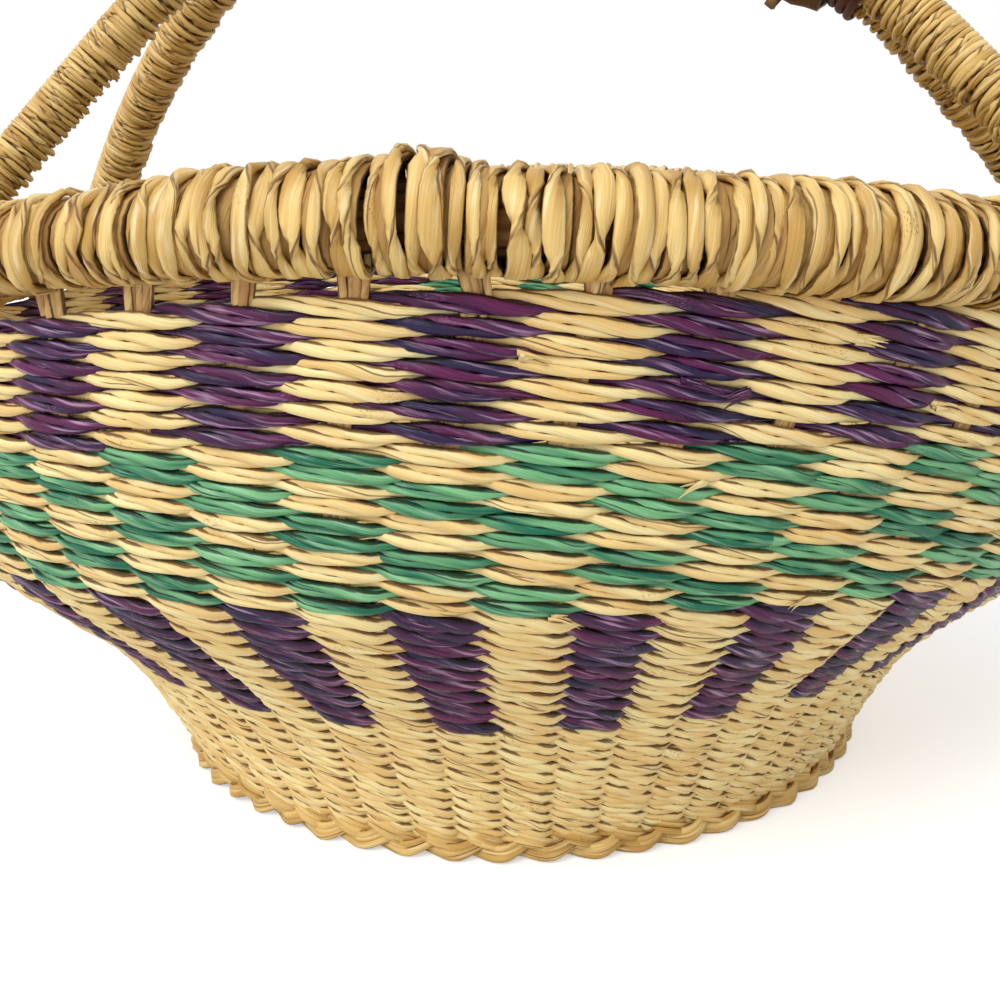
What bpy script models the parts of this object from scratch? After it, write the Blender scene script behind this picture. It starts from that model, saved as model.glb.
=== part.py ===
"""Round straw market basket with a saddle-shaped bound rim and a two-hoop handle.

Metres, +Z up. The origin is the centre of the foot ring on the ground. The handle runs along X,
and the front of the basket faces -Y. Angles round the basket start at the front and grow towards +X.
"""
import math

import bmesh
import bpy
from mathutils import Vector

# Fit between pieces
CLEARANCE = 0.0003
SLEEVE_CLEARANCE = 0.0009

# Foot braid and woven base
FOOT_RADIUS = 0.1170
FOOT_WIDTH = 0.0090
FOOT_HEIGHT = 0.0080
FOOT_SIDES = 7
BASE_THICKNESS = 0.0045
BASE_LIFT = 0.0030

# Wall bands, bottom to top: height of each, and outer radius where it ends
WALL_THICKNESS = 0.0070
WALL_FOOT_STEP = 0.0002
NATURAL_HEIGHT = 0.0418
NATURAL_TOP_RADIUS = 0.1417
LOWER_PURPLE_HEIGHT = 0.0390
LOWER_PURPLE_TOP_RADIUS = 0.1814
GREEN_HEIGHT = 0.0352
GREEN_TOP_RADIUS = 0.1983
UPPER_PURPLE_HEIGHT = 0.0275
WALL_TOP_RADIUS = 0.2050
RING_STATIONS = 56
BAND_STEPS = 2

# The wall swells at each stake, where the strands pass over it, and draws in between the stakes
WALL_RIB_DEPTH = 0.0018

# The rim is high at the front and the back and low at the sides
SADDLE_RISE = 0.0140
SADDLE_TURN = math.radians(8.9)
SADDLE_SHARES = (0, 0.08, 0.48, 0.82, 1)

# Stakes that leave the wall and turn over into the rim's core
STAKE_COUNT = 56
STAKE_TURNS = (math.radians(7.4), math.radians(7.4), math.radians(7), math.radians(9), math.radians(11))
STAKE_WIDTH = 0.0055
STAKE_THICKNESS = 0.0040
STAKE_GAP = 0.0018

# Rim: core bundle, and the strips bound round it
RIM_RADIUS = 0.0115
RIM_GROOVE_DEPTH = 0.0011
RIM_CORE_RADIUS = 0.0064
RIM_OVERHANG = 0.0010
RIM_RIBS = 64
RIM_OUTER_POINTS = 7
RIM_INNER_POINTS = 5
RIM_CORE_CLEARANCE = 0.0005

# Handle: two hoops that meet at the grip and part towards four feet on the rim
ARCH_RISE = 0.1385
ARCH_LEAN = -0.0067
FOOT_ANGLE = math.radians(17.9)
FOOT_TURN_OUT = 0.0073
HOOP_RADIUS = 0.0093
HOOP_GROOVE_DEPTH = 0.0008
HOOP_CORE_RADIUS = 0.0062
HOOP_GAP = 0.0020
HOOP_RIBS = 36
HOOP_SIDES = 8
HOOP_CORE_STEPS = 18
SPREAD_POWER = 4
TURN_OUT_POWER = 12

# Lashing at each foot of the handle
LASHING_LENGTH = 0.0150
LASHING_TURNS = 4
LASHING_RADIUS = 0.0096
LASHING_GROOVE_DEPTH = 0.0007

# Leather grip, sewn below in a keel, with its ties and end bindings
GRIP_HALF_LENGTH = 0.0920
GRIP_OFFSET = 0.0200
LEATHER_THICKNESS = 0.0018
KEEL_DEPTH = 0.0055
KEEL_HALF_WIDTH = 0.0020
KEEL_END_LENGTH = 0.0080
KEEL_END_SHARE = 0.3
GRIP_STEPS = 12
TIE_INSET = 0.0150
TIE_WIDTH = 0.0060
TIE_THICKNESS = 0.0025
BINDING_TURNS = 3
BINDING_PITCH = 0.0032
BINDING_THICKNESS = 0.0022
BINDING_GROOVE_DEPTH = 0.0009

# Arc-length tables of the hoops
TABLE_STEPS = 400
HALVINGS = 40

# Sizes worked out from the ones above
FOOT_INNER_RADIUS = FOOT_RADIUS - FOOT_WIDTH
WALL_FOOT_RADIUS = FOOT_RADIUS + WALL_FOOT_STEP
RIM_PATH_RADIUS = WALL_TOP_RADIUS - WALL_THICKNESS / 2 + RIM_OVERHANG
WALL_LEVELS = (FOOT_HEIGHT + CLEARANCE,
               FOOT_HEIGHT + NATURAL_HEIGHT,
               FOOT_HEIGHT + NATURAL_HEIGHT + LOWER_PURPLE_HEIGHT,
               FOOT_HEIGHT + NATURAL_HEIGHT + LOWER_PURPLE_HEIGHT + GREEN_HEIGHT,
               FOOT_HEIGHT + NATURAL_HEIGHT + LOWER_PURPLE_HEIGHT + GREEN_HEIGHT + UPPER_PURPLE_HEIGHT)
WALL_RADII = (WALL_FOOT_RADIUS, NATURAL_TOP_RADIUS, LOWER_PURPLE_TOP_RADIUS, GREEN_TOP_RADIUS,
              WALL_TOP_RADIUS)
RIM_PATH_HEIGHT = WALL_LEVELS[-1] + STAKE_GAP + RIM_RADIUS


def material(name, colour, roughness):
    """Principled material with one colour."""
    made = bpy.data.materials.new(name)
    made.use_nodes = True
    shader = made.node_tree.nodes["Principled BSDF"]
    shader.inputs["Base Color"].default_value = (*colour, 1)
    shader.inputs["Roughness"].default_value = roughness
    shader.inputs["Metallic"].default_value = 0
    return made


def finish(name, bm, look):
    """Turns a bmesh into a named object, faces out and shaded smooth."""
    bmesh.ops.recalc_face_normals(bm, faces=bm.faces)
    mesh = bpy.data.meshes.new(name)
    bm.to_mesh(mesh)
    bm.free()
    mesh.shade_smooth()
    mesh.set_sharp_from_angle(angle=math.radians(50))
    made = bpy.data.objects.new(name, mesh)
    bpy.context.collection.objects.link(made)
    made.data.materials.append(material(name, *look))
    return made


def skin(bm, first, second):
    """Joins two loops of the same length with a band of faces."""
    for near, far in zip(range(len(first)), list(range(1, len(first))) + [0]):
        bm.faces.new((first[near], first[far], second[far], second[near]))


def ring(name, loops, look):
    """Closed ring skinned over loops of points that go once round the basket."""
    bm = bmesh.new()
    rows = [[bm.verts.new(point) for point in loop] for loop in loops]
    for row, following in zip(rows, rows[1:] + rows[:1]):
        skin(bm, row, following)
    return finish(name, bm, look)


def sleeve(name, outer, inner, look):
    """Open tube: an outer skin and a bore with their own numbers of loops, joined at the ends."""
    bm = bmesh.new()
    shells = [[[bm.verts.new(point) for point in loop] for loop in loops] for loops in (outer, inner)]
    for rows in shells:
        for row, following in zip(rows, rows[1:]):
            skin(bm, row, following)
    skin(bm, shells[0][0], shells[1][0])
    skin(bm, shells[0][-1], shells[1][-1])
    return finish(name, bm, look)


def rod(name, loops, look):
    """Solid rod with a flat cap at each end."""
    bm = bmesh.new()
    rows = [[bm.verts.new(point) for point in loop] for loop in loops]
    for row, following in zip(rows, rows[1:]):
        skin(bm, row, following)
    bm.faces.new(rows[0])
    bm.faces.new(rows[-1])
    return finish(name, bm, look)


def cut(made, cutter):
    """Takes a hidden cutter out of an object."""
    modifier = made.modifiers.new("Rim seat", "BOOLEAN")
    modifier.operation = "DIFFERENCE"
    modifier.solver = "EXACT"
    modifier.object = cutter


def saddle(angle, amount):
    """Lift of the weave at an angle round the basket."""
    return amount * math.cos(2 * (angle - SADDLE_TURN))


def around(angle, radius, height):
    """Point at an angle, a radius and a height."""
    return Vector((radius * math.sin(angle), -radius * math.cos(angle), height))


def smooth_value(values, place):
    """Value at a place along a list, on a curve that passes through all of them."""
    low = min(int(place), len(values) - 2)
    share = place - low
    before = values[low - 1] if low else 2 * values[0] - values[1]
    start, end = values[low], values[low + 1]
    after = values[low + 2] if low + 2 < len(values) else 2 * values[-1] - values[-2]
    return start + share * (end - before + share * (2 * before - 5 * start + 4 * end - after
                            + share * (3 * (start - end) + after - before))) / 2


def wall_point(angle, place, depth):
    """Point in the wall: place counts levels from the foot, depth goes in from the outer face."""
    height = smooth_value(WALL_LEVELS, place)
    radius = smooth_value(WALL_RADII, place)
    lift = saddle(angle, SADDLE_RISE * smooth_value(SADDLE_SHARES, place))
    return around(angle, radius - depth, height + lift)


def stake_angle(stake, place):
    """Angle of a stake at a place up the wall."""
    return smooth_value(STAKE_TURNS, place) + math.tau * stake / STAKE_COUNT


def band(name, level, look):
    """One colour band of the wall, a closed ring between two levels, with a rib at each stake."""
    height = WALL_LEVELS[level + 1] - WALL_LEVELS[level]
    start = level + (CLEARANCE / height if level else 0)
    steps = [start + (level + 1 - start) * step / BAND_STEPS for step in range(BAND_STEPS + 1)]
    loops = []
    for station in range(2 * STAKE_COUNT):
        depth = WALL_RIB_DEPTH * (station % 2)
        outer = [wall_point(stake_angle(station / 2, place), place, depth) for place in steps]
        inner = [wall_point(stake_angle(station / 2, place), place, WALL_THICKNESS - depth)
                 for place in reversed(steps)]
        loops.append(outer + inner)
    return ring(name, loops, look)


def foot_braid(look):
    """Plaited foot ring, flat underneath, that the basket stands on."""
    radius = FOOT_HEIGHT / (1 + math.cos(math.pi / FOOT_SIDES))
    loops = []
    for station in range(RING_STATIONS):
        angle = math.tau * station / RING_STATIONS
        loop = []
        for side in range(FOOT_SIDES):
            turn = math.tau * (side + 0.5) / FOOT_SIDES - math.pi / 2
            across = math.cos(turn) / math.cos(math.pi / 2 / FOOT_SIDES)
            height = radius * (math.cos(math.pi / FOOT_SIDES) + math.sin(turn))
            loop.append(around(angle, FOOT_RADIUS + FOOT_WIDTH / 2 * (across - 1), height))
        loops.append(loop)
    return ring("foot_braid", loops, look)


def base_disc(look):
    """Woven bottom inside the foot ring."""
    bm = bmesh.new()
    radius = FOOT_INNER_RADIUS - CLEARANCE
    rows = []
    for height in (BASE_LIFT, BASE_LIFT + BASE_THICKNESS):
        rows.append([bm.verts.new(around(math.tau * station / RING_STATIONS, radius, height))
                     for station in range(RING_STATIONS)])
    skin(bm, rows[0], rows[1])
    bm.faces.new(rows[0])
    bm.faces.new(rows[1])
    return finish("base_disc", bm, look)


def rim_point(angle):
    """Centre of the rim at an angle."""
    return around(angle, RIM_PATH_RADIUS, RIM_PATH_HEIGHT + saddle(angle, SADDLE_RISE))


def rim_arc(angle, radius, half_slot, points):
    """Arc round the rim's centre that leaves a slot open underneath."""
    centre = rim_point(angle)
    open_turn = math.asin(half_slot / radius)
    arc = []
    for point in range(points):
        turn = open_turn - math.pi / 2 + (math.tau - 2 * open_turn) * point / (points - 1)
        arc.append(centre + around(angle, radius * math.cos(turn), radius * math.sin(turn)))
    return arc


def rim_binding(look):
    """Strips wound round the rim, open below where the stakes come in."""
    loops = []
    half_slot = STAKE_THICKNESS / 2 + RIM_CORE_CLEARANCE
    for station in range(2 * RIM_RIBS):
        angle = math.tau * station / (2 * RIM_RIBS)
        radius = RIM_RADIUS - RIM_GROOVE_DEPTH * (station % 2)
        outer = rim_arc(angle, radius, half_slot, RIM_OUTER_POINTS)
        bore = rim_arc(angle, RIM_CORE_RADIUS + RIM_CORE_CLEARANCE, half_slot, RIM_INNER_POINTS)
        loops.append(outer + bore[::-1])
    return ring("rim_binding", loops, look)


def stakes_and_rim_core(look):
    """Stakes that stand up out of the wall and turn over into the bundle inside the rim."""
    bm = bmesh.new()
    half_width = STAKE_WIDTH / (2 * RIM_PATH_RADIUS)
    angles = []
    for stake in range(STAKE_COUNT):
        middle = stake_angle(stake, len(STAKE_TURNS) - 1)
        angles += [middle - half_width, middle + half_width]
    rows = []
    for angle in angles:
        arc = rim_arc(angle, RIM_CORE_RADIUS, STAKE_THICKNESS / 2, RIM_INNER_POINTS)
        rows.append([bm.verts.new(point) for point in arc])
    feet = []
    for angle in angles:
        foot = around(angle, RIM_PATH_RADIUS, WALL_LEVELS[-1] + saddle(angle, SADDLE_RISE) + CLEARANCE)
        across = around(angle, STAKE_THICKNESS / 2, 0)
        feet.append([bm.verts.new(foot + across), bm.verts.new(foot - across)])
    for index, row in enumerate(rows):
        following = rows[(index + 1) % len(rows)]
        for point in range(RIM_INNER_POINTS - 1):
            bm.faces.new((row[point], row[point + 1], following[point + 1], following[point]))
        if index % 2:
            bm.faces.new((row[-1], row[0], following[0], following[-1]))
            continue
        outer, inner = feet[index]
        next_outer, next_inner = feet[index + 1]
        bm.faces.new((row[0], following[0], next_outer, outer))
        bm.faces.new((row[-1], following[-1], next_inner, inner))
        bm.faces.new((row[0], row[-1], inner, outer))
        bm.faces.new((following[0], following[-1], next_inner, next_outer))
        bm.faces.new((outer, inner, next_inner, next_outer))
    return finish("stakes_and_rim_core", bm, look)


def rim_envelope():
    """Hidden ring, a clearance larger than the rim, that seats the handle's feet."""
    loops = []
    for station in range(2 * RIM_RIBS):
        angle = math.tau * station / (2 * RIM_RIBS)
        loop = []
        for side in range(2 * HOOP_SIDES):
            turn = math.tau * side / (2 * HOOP_SIDES)
            radius = (RIM_RADIUS + CLEARANCE) / math.cos(math.pi / (2 * HOOP_SIDES))
            loop.append(rim_point(angle) + around(angle, radius * math.cos(turn), radius * math.sin(turn)))
        loops.append(loop)
    made = ring("rim_envelope", loops, ((0.5, 0.5, 0.5), 0.5))
    made.hide_render = True
    made.display_type = "WIRE"
    return made


def hoop_point(side, place):
    """Centre of a hoop: side -1 front or 1 rear, place from -1 at the left foot to 1 at the right."""
    reach = abs(place)
    end = math.copysign(1, place)
    foot = rim_point(end * (math.pi / 2 + side * FOOT_ANGLE))
    span = RIM_PATH_RADIUS - FOOT_TURN_OUT
    half_gap = HOOP_RADIUS + HOOP_GAP / 2
    spread = half_gap + (span * math.sin(FOOT_ANGLE) - half_gap) * reach ** SPREAD_POWER
    base = RIM_PATH_HEIGHT - SADDLE_RISE * math.cos(2 * FOOT_ANGLE)
    centre = Vector((end * span * math.cos(FOOT_ANGLE) * reach + ARCH_LEAN * (1 - reach ** 2),
                     side * spread, base + ARCH_RISE * (1 - reach ** 2)))
    landing = Vector((end * span * math.cos(FOOT_ANGLE), side * span * math.sin(FOOT_ANGLE), base))
    return centre + (foot - landing) * reach ** TURN_OUT_POWER


class Hoop:
    """One hoop's centre line, measured along its length."""

    def __init__(self, side):
        self.places = [2 * step / TABLE_STEPS - 1 for step in range(TABLE_STEPS + 1)]
        self.points = [hoop_point(side, place) for place in self.places]
        self.lengths = [0]
        for start, end in zip(self.points, self.points[1:]):
            self.lengths.append(self.lengths[-1] + (end - start).length)
        self.total = self.lengths[-1]

    def loop(self, length, radius, sides):
        """Points round the hoop at a length from its left foot."""
        index = max(1, sum(1 for passed in self.lengths[:-1] if passed < length))
        start, end = self.points[index - 1], self.points[index]
        step = self.lengths[index] - self.lengths[index - 1]
        centre = start.lerp(end, (length - self.lengths[index - 1]) / step)
        along = (end - start).normalized()
        out = Vector((0, 1, 0)).cross(along).normalized()
        beside = along.cross(out)
        turns = [math.tau * (corner + 0.5) / sides for corner in range(sides)]
        return [centre + radius * (out * math.cos(turn) + beside * math.sin(turn)) for turn in turns]

    def ribbed(self, start, end, ribs, radius, groove):
        """Loops of a wound skin, two for each rib."""
        steps = 2 * ribs
        return [self.loop(start + (end - start) * step / steps, radius - groove * ((step + 1) % 2), HOOP_SIDES)
                for step in range(steps + 1)]

    def plain(self, start, end, radius, steps):
        """Loops of a plain skin."""
        return [self.loop(start + (end - start) * step / steps, radius, HOOP_SIDES)
                for step in range(steps + 1)]


def handle_hoop(label, side, seat, looks):
    """Core, winding and two foot lashings of one hoop."""
    hoop = Hoop(side)
    core_loops = hoop.plain(0, hoop.total, HOOP_CORE_RADIUS, 2 * HOOP_CORE_STEPS)
    cut(rod("handle_core_" + label, core_loops, looks["core"]), seat)
    bore = HOOP_CORE_RADIUS + CLEARANCE
    lashed = RIM_RADIUS + LASHING_LENGTH
    start, end = lashed + CLEARANCE, hoop.total - lashed - CLEARANCE
    sleeve("handle_winding_" + label,
           hoop.ribbed(start, end, HOOP_RIBS, HOOP_RADIUS, HOOP_GROOVE_DEPTH),
           hoop.plain(start, end, bore, 2 * HOOP_CORE_STEPS), looks["winding"])
    for name, low, high in (("left", 0, lashed), ("right", hoop.total - lashed, hoop.total)):
        made = sleeve("foot_lashing_" + label + "_" + name,
                      hoop.ribbed(low, high, LASHING_TURNS, LASHING_RADIUS, LASHING_GROOVE_DEPTH),
                      hoop.plain(low, high, bore, LASHING_TURNS), looks["lashing"])
        cut(made, seat)


def grip_frame(place):
    """Centre, half gap, and outward direction between the hoops at a place."""
    front, rear = hoop_point(-1, place), hoop_point(1, place)
    step = 1 / TABLE_STEPS
    before = hoop_point(-1, place - step) + hoop_point(1, place - step)
    after = hoop_point(-1, place + step) + hoop_point(1, place + step)
    out = (after - before).cross(Vector((0, 1, 0))).normalized()
    return (front + rear) / 2, (rear - front).length / 2, out


def grip_place(distance):
    """Place along the hoops at a signed distance across the basket from the top of the arch."""
    low, high = -1, 1
    for _ in range(HALVINGS):
        middle = (low + high) / 2
        if grip_frame(middle)[0].x - ARCH_LEAN < distance:
            low = middle
        else:
            high = middle
    return (low + high) / 2


def grip_loop(distance, radius, keel):
    """Loop round both hoops, with or without the keel underneath."""
    centre, half_gap, out = grip_frame(grip_place(distance))
    half_width = KEEL_HALF_WIDTH
    side = [(half_gap + radius * math.cos(math.radians(turn)), radius * math.sin(math.radians(turn)))
            for turn in (90, 54, 18, -18, -54, -80)]
    side += [(half_width, -radius - keel / 4), (half_width / 2, -radius - keel)]
    outline = side + [(-across, up) for across, up in reversed(side)]
    return [centre + Vector((0, across, 0)) + out * up for across, up in outline]


def grip(look):
    """Leather sleeve round both hoops, its edges brought together in a keel below."""
    bore = HOOP_RADIUS + SLEEVE_CLEARANCE
    left, right = GRIP_OFFSET - GRIP_HALF_LENGTH, GRIP_OFFSET + GRIP_HALF_LENGTH
    stations = [left + (right - left) * step / GRIP_STEPS for step in range(GRIP_STEPS + 1)]
    stations[1:1] = [left + KEEL_END_LENGTH]
    stations[-1:-1] = [right - KEEL_END_LENGTH]
    outer, inner = [], []
    for distance in stations:
        depth = KEEL_DEPTH * (KEEL_END_SHARE if distance in (left, right) else 1)
        outer.append(grip_loop(distance, bore + LEATHER_THICKNESS, depth))
        inner.append(grip_loop(distance, bore, 0))
    return sleeve("grip_leather", outer, inner, look)


def grip_tie(label, side, look):
    """Thong tied round the grip and its keel near one end."""
    middle = GRIP_OFFSET + side * (GRIP_HALF_LENGTH - TIE_INSET)
    ends = (middle - TIE_WIDTH / 2, middle + TIE_WIDTH / 2)
    inside = HOOP_RADIUS + SLEEVE_CLEARANCE + LEATHER_THICKNESS + SLEEVE_CLEARANCE
    bore = [grip_loop(distance, inside, KEEL_DEPTH) for distance in ends]
    outer = [grip_loop(distance, inside + TIE_THICKNESS, KEEL_DEPTH) for distance in ends]
    return sleeve("grip_tie_" + label, outer, bore, look)


def grip_end_binding(label, side, look):
    """Turns of leather thong round both hoops just past the grip."""
    bore = HOOP_RADIUS + SLEEVE_CLEARANCE
    outer, inner = [], []
    for step in range(2 * BINDING_TURNS + 1):
        distance = GRIP_OFFSET + side * (GRIP_HALF_LENGTH + SLEEVE_CLEARANCE + BINDING_PITCH * step / 2)
        groove = BINDING_GROOVE_DEPTH * ((step + 1) % 2)
        outer.append(grip_loop(distance, bore + BINDING_THICKNESS - groove, 0))
        inner.append(grip_loop(distance, bore, 0))
    return sleeve("grip_end_binding_" + label, outer, inner, look)


for old in list(bpy.data.objects):
    bpy.data.objects.remove(old, do_unlink=True)

STRAW = ((0.79, 0.60, 0.28), 0.6)
PALE_STRAW = ((0.84, 0.68, 0.36), 0.6)
PURPLE = ((0.10, 0.03, 0.12), 0.55)
GREEN = ((0.03, 0.22, 0.12), 0.55)
LEATHER = ((0.12, 0.03, 0.015), 0.5)
THONG = ((0.20, 0.09, 0.04), 0.6)

foot_braid(STRAW)
base_disc(PALE_STRAW)
band("wall_natural", 0, PALE_STRAW)
band("wall_lower_purple", 1, PURPLE)
band("wall_green", 2, GREEN)
band("wall_upper_purple", 3, PURPLE)
stakes_and_rim_core(PALE_STRAW)
rim_binding(STRAW)
rim_seat = rim_envelope()
hoop_looks = {"core": STRAW, "winding": STRAW, "lashing": PALE_STRAW}
handle_hoop("front", -1, rim_seat, hoop_looks)
handle_hoop("rear", 1, rim_seat, hoop_looks)
grip(LEATHER)
for word, direction in (("left", -1), ("right", 1)):
    grip_tie(word, direction, THONG)
    grip_end_binding(word, direction, LEATHER)
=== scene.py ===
import math
import bmesh
import bpy
import numpy as np
from mathutils import Matrix, Vector


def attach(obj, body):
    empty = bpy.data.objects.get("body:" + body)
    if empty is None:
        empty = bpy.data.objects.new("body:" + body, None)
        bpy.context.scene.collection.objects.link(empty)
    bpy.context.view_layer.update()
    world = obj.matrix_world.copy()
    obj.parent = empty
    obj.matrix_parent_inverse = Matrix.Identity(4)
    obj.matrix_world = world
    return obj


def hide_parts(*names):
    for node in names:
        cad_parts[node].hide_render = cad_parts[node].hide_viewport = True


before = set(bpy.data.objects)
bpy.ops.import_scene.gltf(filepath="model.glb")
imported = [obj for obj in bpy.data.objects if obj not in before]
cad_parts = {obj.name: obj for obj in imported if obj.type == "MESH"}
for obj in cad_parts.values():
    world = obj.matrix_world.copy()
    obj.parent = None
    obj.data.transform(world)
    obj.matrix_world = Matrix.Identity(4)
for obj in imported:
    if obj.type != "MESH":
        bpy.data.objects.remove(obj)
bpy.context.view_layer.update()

# Camera: close to the front, a little towards +X, looking down on the rim. Its lens, place and
# turn come from the colour rows, the stakes and the rim in the photograph.
CAMERA_LENS = 47.12
SENSOR_WIDTH = 36
CAMERA_DISTANCE = 0.4436
CAMERA_HEIGHT = 0.1882
CAMERA_ROUND = math.radians(12.9)
CAMERA_DOWN = math.radians(14.37)
CAMERA_YAW = math.radians(-0.72)
CAMERA_ROLL = math.radians(-0.99)

view_turn = (Matrix.Rotation(CAMERA_ROUND, 4, "Z") @ Matrix.Translation((0, -CAMERA_DISTANCE, CAMERA_HEIGHT))
             @ Matrix.Rotation(-CAMERA_YAW, 4, "Z") @ Matrix.Rotation(math.pi / 2 - CAMERA_DOWN, 4, "X")
             @ Matrix.Rotation(CAMERA_ROLL, 4, "Z"))
lens = bpy.data.cameras.new("camera")
lens.lens = CAMERA_LENS
lens.sensor_width = SENSOR_WIDTH
lens.clip_start = 0.01
camera = bpy.data.objects.new("camera", lens)
camera.matrix_world = view_turn
bpy.context.scene.collection.objects.link(camera)
bpy.context.scene.camera = camera
bpy.context.scene.view_settings.view_transform = "Standard"

# Studio: a white floor that fades into a white world, one broad soft lamp from above the front left.
# The world is plain white to the camera and a little dimmer as light.
FLOOR_SIZE = 12
SUN_STRENGTH = 2.0
SUN_SOFTNESS = math.radians(38)
SUN_PLACE = (-0.42, -0.92, 1.0)
WORLD_LIGHT = 0.70
FLOOR_GLOW = 0.5


def add_node(tree, kind, inputs=None, **settings):
    """A shader node with its settings, and its inputs set or linked."""
    made = tree.nodes.new("ShaderNode" + kind)
    for key, value in settings.items():
        setattr(made, key, value)
    for socket, value in (inputs or {}).items():
        if isinstance(value, bpy.types.NodeSocket):
            tree.links.new(value, made.inputs[socket])
        else:
            made.inputs[socket].default_value = value
    return made


world = bpy.data.worlds.new("white studio")
world.use_nodes = True
bpy.context.scene.world = world
sky = world.node_tree
path = add_node(sky, "LightPath")
seen = add_node(sky, "Math", {0: path.outputs["Is Camera Ray"], 1: path.outputs["Is Glossy Ray"]},
                operation="MAXIMUM")
seen = add_node(sky, "Math", {0: seen.outputs[0], 1: path.outputs["Is Transmission Ray"]},
                operation="MAXIMUM")
glow = add_node(sky, "MapRange", {0: seen.outputs[0], 3: WORLD_LIGHT, 4: 1.0})
sky.links.new(glow.outputs[0], sky.nodes["Background"].inputs["Strength"])
sky.nodes["Background"].inputs["Color"].default_value = (1, 1, 1, 1)

sun = bpy.data.lights.new("soft lamp", "SUN")
sun.energy = SUN_STRENGTH
sun.angle = SUN_SOFTNESS
lamp = bpy.data.objects.new("soft lamp", sun)
lamp.matrix_world = Vector(SUN_PLACE).to_track_quat("Z", "Y").to_matrix().to_4x4()
bpy.context.scene.collection.objects.link(lamp)

floor_paint = bpy.data.materials.new("white floor")
floor_paint.use_nodes = True
tree = floor_paint.node_tree
path = add_node(tree, "LightPath")
shade = tree.nodes["Principled BSDF"]
shade.inputs["Base Color"].default_value = (0.8, 0.8, 0.8, 1)
shade.inputs["Roughness"].default_value = 0.9
shade.inputs["Specular IOR Level"].default_value = 0
shade.inputs["Emission Color"].default_value = (1, 1, 1, 1)
glow = add_node(tree, "Math", {0: path.outputs["Is Camera Ray"], 1: FLOOR_GLOW}, operation="MULTIPLY")
tree.links.new(glow.outputs[0], shade.inputs["Emission Strength"])
ground = bmesh.new()
bmesh.ops.create_grid(ground, x_segments=2, y_segments=2, size=FLOOR_SIZE / 2)
floor_mesh = bpy.data.meshes.new("floor")
ground.to_mesh(floor_mesh)
ground.free()
floor_mesh.materials.append(floor_paint)
floor = bpy.data.objects.new("floor", floor_mesh)
bpy.context.scene.collection.objects.link(floor)

# Straw: elephant-grass stems split, flattened and twisted by hand. Every cord here carries a map
# with metres along the straw and turns round it, and the fibres, tones, creases, painted shade and painted
# highlight follow that.
SPIN_SECTION = 0.1
OPEN_TURN = 0.9
STRAW_MAP = "straw"
CORD_SHIFT = 7.31
RELIEF_DEPTH = 0.0006
draws = np.random.RandomState(5)


def spun_cords(name, count, lay, steps, sides, length, cuts=1, closed=False, capped=True):
    """Cords: a circle spun once round for each, then laid where lay(cord, share, out, up) says.

    Each has steps times cuts sections along it, and its map runs over the length in metres.
    """
    seed = bmesh.new()
    seat = Matrix.Translation((1, 0, 0)) @ Matrix.Rotation(math.pi / 2, 4, "X")
    bmesh.ops.create_circle(seed, segments=sides, radius=SPIN_SECTION, matrix=seat)
    sweep = math.tau if closed else math.tau * OPEN_TURN
    bmesh.ops.spin(seed, geom=seed.verts[:] + seed.edges[:], cent=(0, 0, 0), axis=(0, 0, 1),
                   angle=sweep, steps=steps, use_merge=closed)
    if cuts > 1:
        step = sweep / steps
        lengthwise = [edge for edge in seed.edges
                      if edge.verts[0].co.cross(edge.verts[1].co).z ** 2 > (step / 2) ** 2 / 4]
        bmesh.ops.subdivide_edges(seed, edges=lengthwise, cuts=cuts - 1, use_grid_fill=True)
    if not closed and capped:
        bmesh.ops.holes_fill(seed, edges=[edge for edge in seed.edges if edge.is_boundary], sides=0)
    bmesh.ops.recalc_face_normals(seed, faces=seed.faces)
    block = bpy.data.meshes.new("seed")
    seed.to_mesh(block)
    seed.free()
    cords = bmesh.new()
    for _ in range(count):
        cords.from_mesh(block)
    mesh = bpy.data.meshes.new(name)
    cords.to_mesh(mesh)
    cords.free()
    start = np.empty(3 * len(block.vertices), np.float32)
    block.vertices.foreach_get("co", start)
    x, y, z = start.reshape(-1, 3).T.astype(float)
    stations = steps * cuts
    step = sweep / stations
    station = np.mod(np.rint(np.mod(np.arctan2(y, x) + step / 4, math.tau) / step - 0.25),
                     stations if closed else stations + 1)
    out, up = np.hypot(x, y) - 1, z
    reach = np.hypot(out, up)
    out, up = out / reach, up / reach
    share = station / stations
    places = np.concatenate([lay(cord, share, out, up) for cord in range(count)])
    mesh.vertices.foreach_set("co", places.astype(np.float32).ravel())
    corners = np.empty(len(mesh.loops), np.int32)
    mesh.loops.foreach_get("vertex_index", corners)
    starts = np.empty(len(mesh.polygons), np.int32)
    mesh.polygons.foreach_get("loop_start", starts)
    sizes = np.diff(np.append(starts, len(corners)))
    along = np.tile(share, count)[corners]
    round_it = np.mod(np.arctan2(np.tile(up, count), np.tile(out, count)) / math.tau, 1)[corners]
    for values in (along, round_it):
        top = np.repeat(np.maximum.reduceat(values, starts), sizes)
        values[(top > 0.75) & (values < 0.25)] += 1
    cord_of = corners // len(share)
    layer = mesh.uv_layers.new(name=STRAW_MAP)
    layer.data.foreach_set("uv", np.column_stack((along * length + cord_of * CORD_SHIFT, round_it)).ravel())
    mesh.shade_smooth()
    mesh.update()
    made = bpy.data.objects.new(name, mesh)
    bpy.context.scene.collection.objects.link(made)
    return made


def uneven(knots, share):
    """Smooth random value from -1 to 1 along a closed cord."""
    values = draws.uniform(-1, 1, knots)
    place = np.mod(share, 1) * knots
    low = np.floor(place).astype(int)
    mix = (1 - np.cos(np.pi * (place - low))) / 2
    return values[low % knots] * (1 - mix) + values[(low + 1) % knots] * mix


def paint(red, green, blue):
    """Screen colour as the shader's linear colour."""
    linear = [((c + 0.055) / 1.055) ** 2.4 if c > 0.04045 else c / 12.92 for c in (red, green, blue)]
    return (*linear, 1)


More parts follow.
